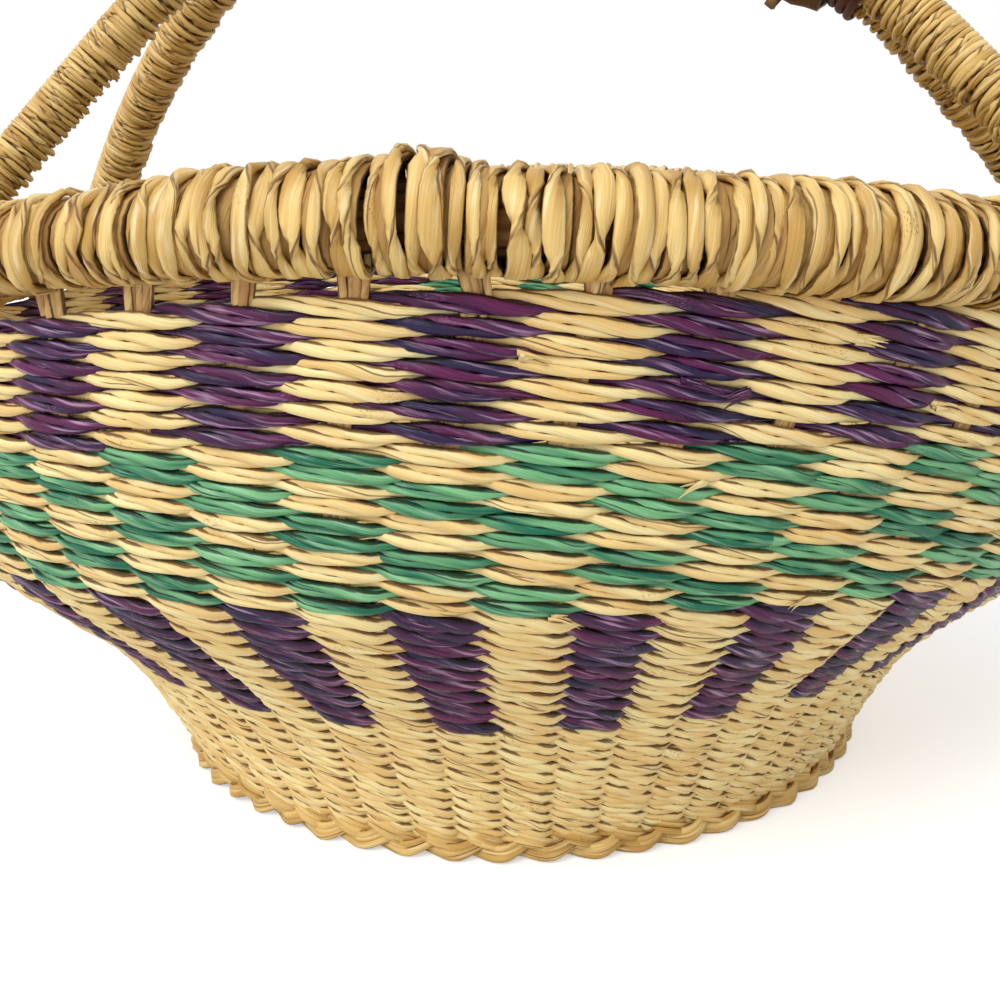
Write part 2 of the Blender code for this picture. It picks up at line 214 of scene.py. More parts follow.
def straw_group():
    """Tones, fibres, splits with painted shade in them, painted shade along the sides, pale patches of dry
    straw and painted highlight, and specks of one twisted straw, from its own map.
    """
    tree = bpy.data.node_groups.new("straw fibres", "ShaderNodeTree")
    for name, kind, value in (("Place", "NodeSocketVector", None), ("Twist", "NodeSocketFloat", 30.0),
                              ("Fibres", "NodeSocketFloat", 4.0), ("Tone Length", "NodeSocketFloat", 20.0),
                              ("Edge Start", "NodeSocketFloat", 0.88)):
        made = tree.interface.new_socket(name=name, in_out="INPUT", socket_type=kind)
        if value is not None:
            made.default_value = value
    for name in ("Tone", "Fibre", "Split", "Edge Shade", "Dry Highlight", "Speck", "Height"):
        tree.interface.new_socket(name=name, in_out="OUTPUT", socket_type="NodeSocketFloat")
    given, result = tree.nodes.new("NodeGroupInput"), tree.nodes.new("NodeGroupOutput")

    def calc(operation, first, second=0.0, third=0.0):
        return add_node(tree, "Math", {0: first, 1: second, 2: third}, operation=operation).outputs[0]

    def ramp(value, low, high, start=0.0, end=1.0):
        made = add_node(tree, "MapRange", {0: value, 1: low, 2: high, 3: start, 4: end},
                        interpolation_type="SMOOTHSTEP")
        return made.outputs[0]

    def noise(x, y, z, detail):
        spot = add_node(tree, "CombineXYZ", {0: x, 1: y, 2: z}).outputs[0]
        made = add_node(tree, "TexNoise", {"Vector": spot, "Scale": 1.0, "Detail": detail,
                                           "Roughness": 0.6})
        return made.outputs[0]

    place = add_node(tree, "SeparateXYZ", {0: given.outputs["Place"]})
    along, turned = place.outputs[0], place.outputs[1]
    slant = calc("ADD", turned, calc("MULTIPLY", along, given.outputs["Twist"]))
    angle = calc("MULTIPLY", slant, math.tau)
    cosine, sine = calc("COSINE", angle), calc("SINE", angle)
    wide = calc("MULTIPLY", cosine, given.outputs["Fibres"])
    high = calc("MULTIPLY", sine, given.outputs["Fibres"])
    fibre = noise(calc("MULTIPLY", along, 40.0), wide, high, 4.0)
    slow = noise(calc("MULTIPLY", along, given.outputs["Tone Length"]), calc("MULTIPLY", cosine, 0.25),
                 calc("MULTIPLY", sine, 0.25), 2.0)
    bend = noise(calc("MULTIPLY", along, 55.0), 3.7, 1.3, 1.0)
    line = calc("FRACT", calc("ADD", slant, calc("MULTIPLY", bend, 0.5)))
    line = calc("ABSOLUTE", calc("SUBTRACT", line, 0.5))
    here = noise(calc("MULTIPLY", along, 48.0), 1.9, 6.4, 0.0)
    # The split lines are grooves in the relief, and their dark colour is painted shade in the grooves.
    split_groove_shade = calc("MULTIPLY", ramp(line, 0.0, 0.035, 1.0, 0.0), ramp(here, 0.46, 0.56))
    ragged = noise(calc("MULTIPLY", along, 260.0), cosine, sine, 2.0)
    # Painted shade along both sides of the straw, where it presses against its neighbours.
    side_shade = calc("ABSOLUTE", calc("SINE", calc("MULTIPLY", turned, math.tau)))
    side_shade = calc("ADD", side_shade, calc("MULTIPLY", calc("SUBTRACT", ragged, 0.5), 0.4))
    edge = ramp(side_shade, calc("SUBTRACT", given.outputs["Edge Start"], 0.08),
                calc("ADD", given.outputs["Edge Start"], 0.08))
    # Pale patches: partly dry straw, partly painted highlight.
    dry_highlight_noise = noise(calc("MULTIPLY", along, 60.0), calc("MULTIPLY", cosine, 1.2),
                calc("MULTIPLY", sine, 1.2), 3.0)
    dots = noise(calc("MULTIPLY", along, 1500.0), calc("MULTIPLY", cosine, 9.0),
                 calc("MULTIPLY", sine, 9.0), 2.0)
    patch = noise(calc("MULTIPLY", along, 62.0), 8.1, 2.2, 0.0)
    speck = calc("MULTIPLY", ramp(dots, 0.58, 0.66), ramp(patch, 0.70, 0.76))
    height = calc("SUBTRACT", fibre, split_groove_shade)
    for name, value in (("Tone", ramp(slow, 0.36, 0.64)), ("Fibre", ramp(fibre, 0.25, 0.75)),
                        ("Split", split_groove_shade), ("Edge Shade", edge), ("Dry Highlight", ramp(dry_highlight_noise, 0.52, 0.72)),
                        ("Speck", speck), ("Height", height)):
        tree.links.new(value, result.inputs[name])
    return tree


straw_fibres = straw_group()


def straw_material(name, tones, edge, speck, dry_highlight, roughness, twist=16.0, fibres=4.0, tone_length=28.0,
                   edge_shade_start=0.87, bump=0.4, dry_highlight_share=0.4, grain=0.5, shine=0.35):
    """Straw in two tones along its length, with slanted fibres, painted shade along its sides and in its
    splits, and pale patches of dry straw and painted highlight.
    """
    made = bpy.data.materials.new(name)
    made.use_nodes = True
    tree = made.node_tree
    shader = tree.nodes["Principled BSDF"]
    place = add_node(tree, "UVMap", uv_map=STRAW_MAP)
    look = add_node(tree, "Group", node_tree=straw_fibres)
    tree.links.new(place.outputs[0], look.inputs["Place"])
    for key, value in (("Twist", twist), ("Fibres", fibres), ("Tone Length", tone_length),
                       ("Edge Start", edge_shade_start)):
        look.inputs[key].default_value = value

    def mix(kind, factor, first, second):
        made = add_node(tree, "Mix", {0: factor, 6: first, 7: second}, data_type="RGBA", blend_type=kind)
        return made.outputs[2]

    def part(output, low, high):
        return add_node(tree, "MapRange", {0: look.outputs[output], 3: low, 4: high}).outputs[0]

    colour = mix("MIX", look.outputs["Tone"], tones[0], tones[1])
    colour = mix("MULTIPLY", part("Fibre", grain, 0.0), colour, tones[2])
    # Pale patches of dry straw and painted highlight.
    colour = mix("MIX", part("Dry Highlight", 0.0, dry_highlight_share), colour, dry_highlight)
    colour = mix("MIX", look.outputs["Speck"], colour, speck)
    # Painted shade: the dark edge colour goes into the splits and along the sides where the straw touches its
    # neighbours.
    colour = mix("MIX", part("Split", 0.0, 0.85), colour, edge)
    colour = mix("MIX", part("Edge Shade", 0.0, 0.85), colour, edge)
    tree.links.new(colour, shader.inputs["Base Color"])
    rough = add_node(tree, "MapRange", {0: look.outputs["Fibre"], 3: roughness + 0.12, 4: roughness - 0.08})
    tree.links.new(rough.outputs[0], shader.inputs["Roughness"])
    relief = add_node(tree, "Bump", {"Height": look.outputs["Height"], "Strength": bump,
                                     "Distance": RELIEF_DEPTH})
    tree.links.new(relief.outputs[0], shader.inputs["Normal"])
    shader.inputs["Specular IOR Level"].default_value = shine
    return made


natural_straw = straw_material(
    "natural straw", (paint(1.0, 0.94, 0.70), paint(0.94, 0.81, 0.54), paint(0.88, 0.74, 0.47)),
    edge=paint(0.36, 0.19, 0.05), speck=paint(0.45, 0.26, 0.14), dry_highlight=paint(1.0, 0.97, 0.83), roughness=0.5)
# The core's straw is painted dark brown, for the shade in the gaps between the rim's strips.
shaded_core_straw = straw_material(
    "shaded core straw", (paint(0.56, 0.37, 0.15), paint(0.42, 0.26, 0.09), paint(0.5, 0.34, 0.17)),
    edge=paint(0.15, 0.08, 0.02), speck=paint(0.2, 0.12, 0.06), dry_highlight=paint(0.6, 0.47, 0.28), roughness=0.75)


def dress(piece, material, slot, *nodes):
    """Gives a finished piece its material and its place in the frame."""
    piece.data.materials.append(material)
    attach(piece, "root")
    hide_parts(*nodes)


# Base: a flat mat of straw twined in rings round crossed straws, a few millimetres off the ground.
# More straws join in as the rings grow.
BASE_RADIUS = 0.1098
BASE_MIDDLE = 0.0053
BASE_ROW = 0.0047
BASE_RINGS = 23
BASE_STRAND_HALF_HEIGHT = BASE_ROW * 0.86
BASE_STRAND_HALF_DEPTH = 0.0012
BASE_SWING = 0.0011
BASE_SINK = 0.0010
BASE_SPOKES = 28
SPOKE_HALF_WIDTH = 0.0014
SPOKE_HALF_DEPTH = 0.0007
SPOKE_LAP = 0.002
PLY_RISE = 0.51
PLY_STEP = 0.36
PLY_SHARE = 0.49
CROSSING_SHARE = 0.60
CROSSING_SPEED = 2.2


def twine(centre, outward, upward, phase, ply_turn, swing, sink, half_height, half_depth, out, up):
    """One ply of a strand that passes in front of and behind the stakes, sinking as it passes."""
    face = np.cos(phase)
    front = np.tanh(CROSSING_SPEED * face)
    width = half_height * (CROSSING_SHARE + (1 - CROSSING_SHARE) * np.abs(face))
    lift = PLY_RISE * width * np.cos(ply_turn) - sink * np.sin(phase)
    stand = swing * front + PLY_STEP * half_depth * np.sin(ply_turn)
    ply_height = width * (PLY_SHARE + (1 - PLY_SHARE) * np.abs(np.sin(ply_turn)))
    ply_depth = half_depth * (0.5 + 0.3 * np.abs(front))
    return (centre + outward * (stand + out * ply_depth)[:, None]
            + upward * (lift + up * ply_height)[:, None])


def around(angle, radius, height):
    """Points at an angle, a radius and a height."""
    return np.column_stack((radius * np.sin(angle), -radius * np.cos(angle), height + 0 * angle))


def base_strand(cord, share, out, up):
    """A ring of the base, two strands to a ring."""
    row, strand = divmod(cord, 2)
    radius = BASE_RADIUS - BASE_ROW / 2 - row * BASE_ROW
    spokes = 56 if radius > 0.06 else 28 if radius > 0.03 else 14
    angle = math.tau * share
    centre = around(angle, radius, BASE_MIDDLE + 0.0002 * uneven(24, share))
    phase = angle * spokes / 2 + math.pi * strand
    down = np.tile((0.0, 0.0, -1.0), (len(share), 1))
    return twine(centre, down, around(angle, 1, 0), phase, phase + 0.5 * row, BASE_SWING, BASE_SINK,
                 BASE_STRAND_HALF_HEIGHT * (1 + 0.1 * uneven(60, share)), BASE_STRAND_HALF_DEPTH, out, up)


base_rows = spun_cords("base_rows", 2 * BASE_RINGS, base_strand, steps=56, cuts=5, sides=5, length=0.4,
                       closed=True)
dress(base_rows, natural_straw, "straw_natural", "base_disc")


def base_spoke(cord, share, out, up):
    """A straw that crosses the base from side to side."""
    turn = math.tau * cord / (2 * BASE_SPOKES)
    along = np.array((math.sin(turn), -math.cos(turn), 0))
    beside = np.array((math.cos(turn), math.sin(turn), 0))
    run = (2 * share - 1) * (BASE_RADIUS + SPOKE_LAP)
    return (run[:, None] * along + beside * (out * SPOKE_HALF_WIDTH)[:, None]
            + np.array((0, 0, 1)) * (BASE_MIDDLE - up * SPOKE_HALF_DEPTH)[:, None])


base_spokes = spun_cords("base_spokes", BASE_SPOKES, base_spoke, steps=12, sides=5, length=0.2)
dress(base_spokes, natural_straw, "straw_natural", "base_disc")

# Stakes: 56 bundles of split straw that stand in the wall and turn over into the rim's core.
# The wall's own levels, radii and saddle are those of the part's solids.
WALL_LEVELS = (0.0083, 0.0498, 0.0888, 0.1240, 0.1515)
WALL_RADII = (0.1172, 0.1417, 0.1814, 0.1983, 0.2050)
WALL_HALF_DEPTH = 0.0035
SADDLE_SHARES = (0, 0.08, 0.48, 0.82, 1)
SADDLE_RISE = 0.0140
SADDLE_TURN = math.radians(8.9)
STAKES = 56
STAKE_PITCH = math.tau / STAKES
STAKE_TURNS = tuple(math.radians(turn) for turn in (7.4, 7.4, 7.0, 9.0, 11.0))
STAKE_STRAWS = 5
STAKE_STRAW_STEP = 0.0008
STAKE_STRAW_HALF_WIDTH = 0.0011
STAKE_STRAW_HALF_DEPTH = 0.0008
STAKE_LEAN = 0.0015
WALL_SHARE = 0.8
OPENS_FROM = 0.7
OPENS_OVER = 0.1
RIM_RADIUS = 0.2025
RIM_HEIGHT = 0.1648
SWAY_TURN = math.radians(14)
RIM_SWAY = 0.0008
WALL_TOP_SWAY = 0.0010
FULL_TURN = math.radians(2.5)
FULL_HALF_WIDTH = math.radians(9.5)
LUMP_TURN = math.radians(8.3)
LUMP_HALF_WIDTH = math.radians(2.2)
LUMP_HEIGHT = 1.3
RIM_DROP = 0.0009


def smooth_value(values, place):
    """Value at a place along a list, on a curve that passes through all of them."""
    values = np.array((2 * values[0] - values[1], *values, 2 * values[-1] - values[-2]))
    low = np.clip(np.floor(place).astype(int), 0, len(values) - 4)
    share = place - low
    before, start, end, after = (values[low + step] for step in range(4))
    return start + share * (end - before + share * (2 * before - 5 * start + 4 * end - after
                            + share * (3 * (start - end) + after - before))) / 2


def sway(angle):
    """Hand-made unevenness where the wall meets the rim: 1 left of the front, -1 right of it."""
    return -np.sin(3 * (angle - SWAY_TURN))


def thinning(angle):
    """How far the rim's top is below its full part, left of the front's middle, less a lump there."""
    away = [np.mod(angle - turn + math.pi, math.tau) - math.pi for turn in (FULL_TURN, LUMP_TURN)]
    lump = LUMP_HEIGHT * np.exp(-(away[1] / LUMP_HALF_WIDTH) ** 2)
    return 1 - np.exp(-(away[0] / FULL_HALF_WIDTH) ** 4) - lump


def wall_middle(angle, place):
    """Points in the middle of the wall's thickness."""
    shift = WALL_TOP_SWAY * sway(angle) * np.clip(place / 4, 0, 1) ** 4
    height = smooth_value(WALL_LEVELS, place) - shift
    lift = SADDLE_RISE * smooth_value(SADDLE_SHARES, place) * np.cos(2 * (angle - SADDLE_TURN))
    return around(angle, smooth_value(WALL_RADII, place) - WALL_HALF_DEPTH, height + lift)


def wall_frame(angle, place):
    """Middle of the wall, the way out of it and the way up it."""
    middle = wall_middle(angle, place)
    upward = wall_middle(angle, place + 0.01) - wall_middle(angle, place - 0.01)
    upward /= np.linalg.norm(upward, axis=1)[:, None]
    tangent = np.column_stack((np.cos(angle), np.sin(angle), 0 * angle))
    outward = np.cross(tangent, upward)
    outward /= np.linalg.norm(outward, axis=1)[:, None]
    return middle, outward, np.cross(outward, tangent)


def rim_centre(angle):
    """Points on the rim's centre line."""
    return around(angle, RIM_RADIUS, RIM_HEIGHT + SADDLE_RISE * np.cos(2 * (angle - SADDLE_TURN)))


stake_leans = draws.uniform(-STAKE_LEAN, STAKE_LEAN, STAKES)


def stake_straw(cord, share, out, up):
    """One straw of a stake, thin in the wall and opened out under the rim."""
    stake, straw = divmod(cord, STAKE_STRAWS)
    place = 4 * np.minimum(share / WALL_SHARE, 1)
    top = np.clip(share / WALL_SHARE - 1, 0, 1) * 4
    angle = smooth_value(STAKE_TURNS, place) + stake * STAKE_PITCH
    opened = np.clip((share - OPENS_FROM) / OPENS_OVER, 0, 1)
    wander = draws.uniform(-1, 1, 5)
    flare = 1 + 0.35 * np.minimum(top * 2, 1)
    spread = (straw - (STAKE_STRAWS - 1) / 2 + 0.3 * wander[0]) * STAKE_STRAW_STEP * flare
    middle, outward, upward = wall_frame(angle, place)
    tangent = np.column_stack((np.cos(angle), np.sin(angle), 0 * angle))
    high = rim_centre(angle)
    middle = middle * (1 - top)[:, None] + high * top[:, None]
    half_width = STAKE_STRAW_HALF_WIDTH + 0.0002 * wander[2] * opened
    depth = STAKE_STRAW_HALF_DEPTH + 0.0002 * opened
    stand = 0.0006 * wander[3] * opened
    lean = stake_leans[stake] * np.minimum(top * 2, 1) + 0.0006 * wander[4] * opened
    return (middle + tangent * (spread + lean - up * half_width)[:, None]
            + outward * (stand + out * depth)[:, None])


# Stake straw is a browner copy of natural straw: painted shade on the stakes.
shaded_stake_straw = straw_material(
    "shaded stake straw", (paint(0.93, 0.81, 0.55), paint(0.78, 0.60, 0.38), paint(0.80, 0.62, 0.42)),
    edge=paint(0.33, 0.18, 0.07), speck=paint(0.42, 0.24, 0.14), dry_highlight=paint(0.98, 0.90, 0.70), roughness=0.5)
stakes = spun_cords("stakes", STAKES * STAKE_STRAWS, stake_straw, steps=20, sides=5, length=0.2)
dress(stakes, shaded_stake_straw, "straw_natural", "stakes_and_rim_core")

# Rim core: the stakes' ends and filler straws, laid along the rim in a round bundle that the
# binding grips. It shows only between the strips, and its straw is painted dark as shade there.
CORE_CORDS = 9
CORE_RING = 0.0041
CORE_CORD_RADIUS = 0.0027


def rim_core_cord(cord, share, out, up):
    """One straw bundle of the rim's core, slowly turning round the others."""
    angle = math.tau * share
    turn = math.tau * (cord / CORE_CORDS + 4 * share)
    level, outward = np.array((0.0, 0.0, 1.0)), around(angle, 1, 0)
    rise = CORE_RING * np.sin(turn) + CORE_CORD_RADIUS * up - RIM_DROP * thinning(angle)
    return (rim_centre(angle) + outward * (CORE_RING * np.cos(turn) + CORE_CORD_RADIUS * out)[:, None]
            + level * rise[:, None])


rim_core = spun_cords("rim_core", CORE_CORDS, rim_core_cord, steps=56, cuts=3, sides=6, length=1.27,
                      closed=True)
dress(rim_core, shaded_core_straw, "straw_natural", "stakes_and_rim_core")

# Wall: rows of twining. Each row is two strands of two twisted straws that swap in front of and
# behind every stake, so a dyed strand shows outside on every second stake only.
STATIONS_PER_STAKE = 10
NATURAL_STATIONS_PER_STAKE = 7
STRAND_SWING = 0.0012
STRAND_HALF_DEPTH = 0.0016
PLY_SIDES = 8
NATURAL_ROWS, LOWER_PURPLE_ROWS, GREEN_ROWS, UPPER_PURPLE_ROWS = 11, 10, 10, 7


def wall_rows(name, level, rows, flips, fullness, sink_share, material, slot, node, first_row=0,
              stations=STATIONS_PER_STAKE):
    """One colour's strands in a colour band, one to a row and each of two plies."""
    length = math.dist((WALL_LEVELS[level], WALL_RADII[level]),
                       (WALL_LEVELS[level + 1], WALL_RADII[level + 1]))
    half_height = length / rows / 2 * fullness
    sink = length / rows * sink_share
    round_row = np.linspace(0, 1, 720, endpoint=False)
    waver = uneven(18, round_row)
    dials = {}

    def lay(cord, share, out, up):
        row, ply = divmod(cord, 2)
        if row not in dials:
            wobble = uneven(30, share) * 0.05 + uneven(112, share) * 0.03
            dials[row] = [wobble] + [uneven(knots, share) for knots in (112, 56, 40, 56)] + [draws.uniform()]
        wobble, plump, drift, roll, shift, seam = dials[row]
        angle = math.tau * (share + seam)
        common = np.interp(share + seam, round_row, waver, period=1)
        place = level + (first_row + row + 0.5 + 0.14 * common + wobble) / rows
        middle, outward, upward = wall_frame(angle, place)
        phase = math.pi * ((angle - smooth_value(STAKE_TURNS, place)) / STAKE_PITCH + 0.05 * shift
                           + flips[row])
        ply_turn = phase + math.pi * ply + 0.8 * roll
        height = half_height * (1 + 0.08 * plump) * (1 + (0.10 if ply else -0.06) * drift)
        return twine(middle, outward, upward, phase, ply_turn, STRAND_SWING, sink, height,
                     STRAND_HALF_DEPTH * (1 + 0.12 * drift), out, up)

    ring = math.tau * (WALL_RADII[level] + WALL_RADII[level + 1]) / 2
    made = spun_cords(name, len(flips) * 2, lay, steps=STAKES, cuts=stations, sides=PLY_SIDES, length=ring,
                      closed=True)
    dress(made, material, slot, node)


purple_straw = straw_material(
    "purple straw", (paint(0.15, 0.11, 0.29), paint(0.42, 0.08, 0.33), paint(0.30, 0.20, 0.36)),
    edge=paint(0.05, 0.0, 0.04), speck=paint(0.66, 0.44, 0.60), dry_highlight=paint(0.80, 0.65, 0.78), roughness=0.27,
    dry_highlight_share=0.68, edge_shade_start=0.82, grain=0.65, shine=0.33)
green_straw = straw_material(
    "green straw", (paint(0.03, 0.45, 0.33), paint(0.54, 0.80, 0.57), paint(0.32, 0.52, 0.38)),
    edge=paint(0.0, 0.10, 0.04), speck=paint(0.58, 0.74, 0.58), dry_highlight=paint(0.74, 0.90, 0.76), roughness=0.28,
    dry_highlight_share=0.45, edge_shade_start=0.82, grain=0.5, shine=0.35)

# The natural band has one starting row more, below the wall's edge and tucked into the foot.
for word, flip in (("front", 0), ("back", 1)):
    wall_rows(f"wall_natural_{word}_strands", 0, NATURAL_ROWS, [flip] * (NATURAL_ROWS + 1), 1.12, 0.27,
              natural_straw, "straw_natural", "wall_natural", first_row=-1,
              stations=NATURAL_STATIONS_PER_STAKE)
# In the green band the two colours swap places after every second row.
swaps = [1 - (row // 2) % 2 for row in range(GREEN_ROWS)]
for band, level, order, fullness, sink, dye, slot in (
        ("lower_purple", 1, [0] * LOWER_PURPLE_ROWS, 1.06, 0.26, purple_straw, "straw_purple"),
        ("green", 2, swaps, 0.97, 0.25, green_straw, "straw_green"),
        ("upper_purple", 3, [0] * UPPER_PURPLE_ROWS, 0.93, 0.25, purple_straw, "straw_purple")):
    wall_rows(f"wall_{band}_dyed", level, len(order), order, fullness, sink, dye, slot, f"wall_{band}")
    wall_rows(f"wall_{band}_undyed", level, len(order), [1 - flip for flip in order], fullness, sink,
              natural_straw, "straw_natural", f"wall_{band}")

# Broken ends: a few strands have snapped or been cut short, and their fibres fan out of the wall.
# Each place is an angle round the wall, a place up its bands and the way that the fibres point.
BROKEN_ENDS = ((13.7, 3.62, 1), (22.6, 3.44, 1), (25.4, 3.36, -1), (32.4, 3.76, 1), (38.6, 3.31, 1),
               (15.7, 2.02, 1), (23.5, 2.80, -1), (33.0, 2.06, -1), (-38.0, 3.40, 1), (-71.0, 2.60, -1),
               (101.0, 3.55, 1), (148.0, 2.45, 1), (-162.0, 3.25, -1), (-120.0, 1.70, 1))
DYED_ENDS = (1, 2, 8, 12)
END_FIBRES = 6
END_LENGTH = 0.0065
END_HALF_THICKNESS = 0.00042
END_ROOT_STAND = 0.0020


def broken_fibre(spots):
    """One fibre of a broken end, tapering as it leaves the wall."""
    def lay(cord, share, out, up):
        degrees, place, way = spots[cord // END_FIBRES]
        bend = draws.uniform(-1, 1, 5)
        angle = math.radians(degrees) + 0 * share
        middle, outward, upward = wall_frame(angle, place + 0 * share)
        tangent = np.column_stack((np.cos(angle), np.sin(angle), 0 * angle))
        reach = END_LENGTH * (0.75 + 0.3 * bend[0])
        run = way * reach * (share - 0.35)
        rise = reach * (0.22 * bend[1] * share - 0.12 * share) + 0.0008 * bend[2]
        stand = END_ROOT_STAND + 0.0004 * bend[3] + reach * (0.30 + 0.18 * bend[4]) * share ** 2
        thick = END_HALF_THICKNESS * (1.1 - share)
        return (middle + tangent * run[:, None] + upward * (rise + up * thick * 1.8)[:, None]
                + outward * (stand + out * thick)[:, None])
    return lay


for word, dye, slot, node, dyed in (("natural", natural_straw, "straw_natural", "wall_green", False),
                                    ("purple", purple_straw, "straw_purple", "wall_upper_purple", True)):
    spots = [place for spot, place in enumerate(BROKEN_ENDS) if (spot in DYED_ENDS) == dyed]
    ends = spun_cords(f"broken_ends_{word}", END_FIBRES * len(spots), broken_fibre(spots), steps=5,
                      sides=5, length=END_LENGTH)
    dress(ends, dye, slot, node)

# Foot: a plait of three cords, each of three straws laid flat, sewn under the wall's edge. The
# basket stands on it. It is of the same glossy split straw as the rim's binding.
FOOT_PATH_RADIUS = 0.1148
FOOT_HEIGHT = 0.0052
FOOT_CORDS = 3
FOOT_STRAWS = 3
FOOT_CROSSINGS = 18
FOOT_STRAW_STEP = 0.0014
FOOT_STRAW_RADIUS = 0.0013
FOOT_WEAVE_OUT = 0.0017
FOOT_WEAVE_UP = 0.0028
FOOT_CLEARANCE = 0.0004


def foot_straw(cord, share, out, up):
    """One straw of the plait: it weaves up and down across the plait and in and out of it."""
    strand, straw = divmod(cord, FOOT_STRAWS)
    angle = math.tau * share
    turn = math.tau * (strand / FOOT_CORDS + FOOT_CROSSINGS * share)
    beside = (straw - (FOOT_STRAWS - 1) / 2) * FOOT_STRAW_STEP
    size = FOOT_STRAW_RADIUS * (1 + 0.25 * uneven(70, share))
    stand = -FOOT_WEAVE_OUT * np.sin(2 * turn) + 0.0005 * uneven(40, share) + out * size * 0.75
    rise = FOOT_WEAVE_UP * np.sin(turn) + beside + 0.0004 * uneven(40, share) + up * size
    return (around(angle, FOOT_PATH_RADIUS, np.maximum(FOOT_HEIGHT + rise, FOOT_CLEARANCE))
            + around(angle, 1, 0) * stand[:, None])


binding_straw = straw_material(
    "binding straw", (paint(0.96, 0.84, 0.54), paint(0.80, 0.64, 0.33), paint(0.77, 0.58, 0.28)),
    edge=paint(0.40, 0.22, 0.05), speck=paint(0.40, 0.24, 0.09), dry_highlight=paint(1.0, 0.96, 0.77), roughness=0.33,
    twist=6.0, fibres=6.0, edge_shade_start=0.96, dry_highlight_share=0.5, grain=0.45, shine=0.45)
foot = spun_cords("foot_plait", FOOT_STRAWS * FOOT_CORDS, foot_straw, steps=56, cuts=7, sides=6,
                  length=0.71, closed=True)
dress(foot, binding_straw, "straw_binding", "foot_braid")

# Rim binding: flat split straws wound tightly over the core in two layers. Each turn is twisted
# half round at its two folds, which pinches it, and every second turn lies over its neighbours.
RIM_TURNS = 372
RIM_STATIONS = 28
RIM_LUMP = 0.0012
RIM_SKIN = 0.0102
RIM_FOLDS = ((-1.1, 0.0), (0.5, 1.6))
INNER_STATIONS = 16
INNER_DEPTH = 0.0014
INNER_FULLNESS = 1.05
INNER_FOLDS = ((-3.1, -2.2), (2.2, 3.1))
STRIP_SIDES = 8
STRIP_HALF_WIDTH = 0.0020
STRIP_HALF_DEPTH = 0.0007
STRIP_SQUARENESS = 0.6
FOLD_LENGTH = 0.25
FOLD_PINCH = 0.62
RIM_TURN_LENGTH = 0.068
TURN_SLACK = 1e-6


def turn_dials(turns, low, high):
    """One random value for every turn of a winding."""
    return draws.uniform(low, high, turns + 1)


def strip_dials(turns, folds):
    """Every turn's two folds, way of twisting, height, width, shift and tilt."""
    lumps = 0.7 * (np.arange(turns + 1) % 2) - 0.4 + turn_dials(turns, -0.35, 0.5)
    first_fold, second_fold = (turn_dials(turns, *fold) for fold in folds)
    way = np.sign(turn_dials(turns, -1, 1))
    return (first_fold, second_fold, way, lumps, turn_dials(turns, 0.7, 1.2), turn_dials(turns, -1, 1),
            turn_dials(turns, -0.4, 0.4))


def wound_strip(centre, outward, level, tangent, turn, index, dials, skin, half_width, half_depth, lump_size,
                squareness, out, up):
    """Flat strip at its turn round a bundle, twisted half round at each of its two folds."""
    first, second, way, lump, wide, shift, tilt = (dial[index] for dial in dials)
    shown = np.cos(turn / 2) ** 2
    folded = sum((1 + np.tanh((turn - fold) / FOLD_LENGTH)) / 2 for fold in (first, second))
    roll = way * math.pi * folded + tilt * shown
    edge_on = np.abs(np.sin(roll))
    radius = skin + lump_size * lump * shown + 0.35 * half_width * edge_on
    width = half_width * wide * (1 - FOLD_PINCH * edge_on)
    depth = half_depth * (1 + 0.4 * edge_on)
    side = half_width * shown * (0.4 * shift + 0.5 * way * np.tanh(2 * (turn - first)))
    normal = outward * np.cos(turn)[:, None] + level * np.sin(turn)[:, None]
    cosine, sine = np.cos(roll)[:, None], np.sin(roll)[:, None]
    flat, thick = tangent * cosine + normal * sine, normal * cosine - tangent * sine
    out, up = (np.sign(value) * np.abs(value) ** squareness for value in (out, up))
    return (centre + normal * radius[:, None] + tangent * side[:, None] + flat * (up * width)[:, None]
            + thick * (out * depth)[:, None])


def rim_winding(folds, skin, fullness):
    """One layer of the binding, wound round and round the rim."""
    dials = strip_dials(RIM_TURNS, folds)

    def lay(cord, share, out, up):
        turns = share * RIM_TURNS
        index = np.floor(turns + TURN_SLACK).astype(int)
        angle = math.tau * share
        turn = math.tau * (turns - index) - math.pi
        tangent = np.column_stack((np.cos(angle), np.sin(angle), 0 * angle))
        level = np.array((0.0, 0.0, 1.0))
        drop = RIM_DROP * thinning(angle)
        centre = rim_centre(angle) + level * (RIM_SWAY * sway(angle) - drop)[:, None]
        return wound_strip(centre, around(angle, 1, 0), level, -tangent, turn, index, dials,
                           skin - RIM_SWAY * sway(angle) - drop, STRIP_HALF_WIDTH * fullness,
                           STRIP_HALF_DEPTH, RIM_LUMP, STRIP_SQUARENESS, out, up)

    return lay


# The inner layer shows only in the gaps between the outer strips, so its straw is painted darker and duller,
# as shade there.
shaded_straw = straw_material(
    "shaded straw", (paint(0.80, 0.65, 0.38), paint(0.66, 0.49, 0.25), paint(0.68, 0.51, 0.28)),
    edge=paint(0.22, 0.12, 0.04), speck=paint(0.3, 0.18, 0.08), dry_highlight=paint(0.8, 0.66, 0.42), roughness=0.6)
for layer, stations, straw, winding in (
        ("outer", RIM_STATIONS, binding_straw, rim_winding(RIM_FOLDS, RIM_SKIN, 1)),
        ("inner", INNER_STATIONS, shaded_straw,
         rim_winding(INNER_FOLDS, RIM_SKIN - INNER_DEPTH, INNER_FULLNESS))):
    rim = spun_cords(f"rim_strips_{layer}", 1, winding, steps=RIM_TURNS, cuts=stations,
                     sides=STRIP_SIDES, length=RIM_TURNS * RIM_TURN_LENGTH, closed=True)
    dress(rim, straw, "straw_binding", "rim_binding")

